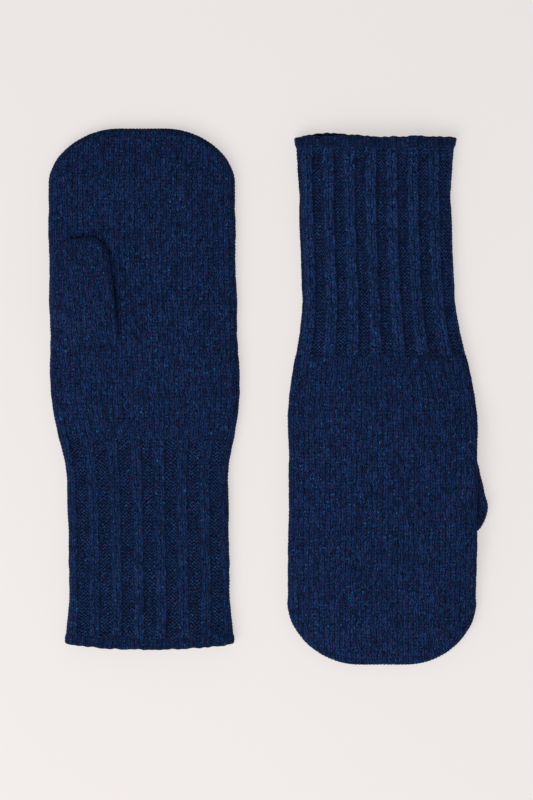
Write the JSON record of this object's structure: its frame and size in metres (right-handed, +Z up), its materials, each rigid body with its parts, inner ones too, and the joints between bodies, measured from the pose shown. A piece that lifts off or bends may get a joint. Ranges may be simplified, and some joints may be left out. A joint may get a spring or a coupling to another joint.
{
  "type": "knitted mittens",
  "caption": "A pair of plain knitted mittens with long ribbed cuffs and closed thumbs, laid flat side by side, one palm up and one back up.",
  "frame": {"origin": "on the surface the pair lies on, at the middle of the box round both mittens", "axes": "+Z up from the surface; +Y to the left mitten's fingertips, and away from the right mitten's; +X from the left mitten to the right one"},
  "size_m": [0.2328, 0.2828, 0.0233],
  "materials": {
    "knit_hand": "heathered navy wool stockinette",
    "knit_cuff": "heathered navy wool rib",
    "knit_thumb": "heathered navy wool stockinette",
    "knit_welt": "firm rolled start-up edge in the same wool",
    "linking_yarn": "linked seam in the same wool"
  },
  "bodies": {
    "left_hand": {"left_hand_back": "knit_hand", "left_hand_palm": "knit_hand", "left_hand_seam": "linking_yarn"},
    "left_cuff": {"left_cuff_back": "knit_cuff", "left_cuff_palm": "knit_cuff", "left_cuff_seams": "linking_yarn", "left_cuff_welt": "knit_welt"},
    "left_thumb": {"left_thumb_opening_seam": "linking_yarn", "left_thumb_top": "knit_thumb", "left_thumb_under": "knit_thumb", "left_thumb_edge_seam": "linking_yarn"},
    "right_hand": {"right_hand_back": "knit_hand", "right_hand_palm": "knit_hand", "right_hand_seam": "linking_yarn"},
    "right_cuff": {"right_cuff_back": "knit_cuff", "right_cuff_palm": "knit_cuff", "right_cuff_seams": "linking_yarn", "right_cuff_welt": "knit_welt"},
    "right_thumb": {"right_thumb_opening_seam": "linking_yarn", "right_thumb_top": "knit_thumb", "right_thumb_under": "knit_thumb", "right_thumb_edge_seam": "linking_yarn"}
  },
  "joints": [
    {"name": "left_wrist_fold", "type": "hinge", "parent": "left_hand", "child": "left_cuff", "pos_m": [-0.066, -0.022, 0.014], "axis": [-1, 0, 0], "range_deg": [0, 80]},
    {"name": "left_thumb_swing", "type": "hinge", "parent": "left_hand", "child": "left_thumb", "pos_m": [-0.0955, 0.0382, 0.014], "axis": [0, 0, 1], "range_deg": [-18, 40]},
    {"name": "right_mitten_lift", "type": "slide", "parent": "left_hand", "child": "right_hand", "axis": [0, 0, 1], "range_m": [0, 0.12]},
    {"name": "right_wrist_fold", "type": "hinge", "parent": "right_hand", "child": "right_cuff", "pos_m": [0.059, 0.022, 0.014], "axis": [1, 0, 0], "range_deg": [0, 80]},
    {"name": "right_thumb_swing", "type": "hinge", "parent": "right_hand", "child": "right_thumb", "pos_m": [0.0885, -0.0382, 0.0093], "axis": [0, 0, 1], "range_deg": [-20, 25]}
  ]
}
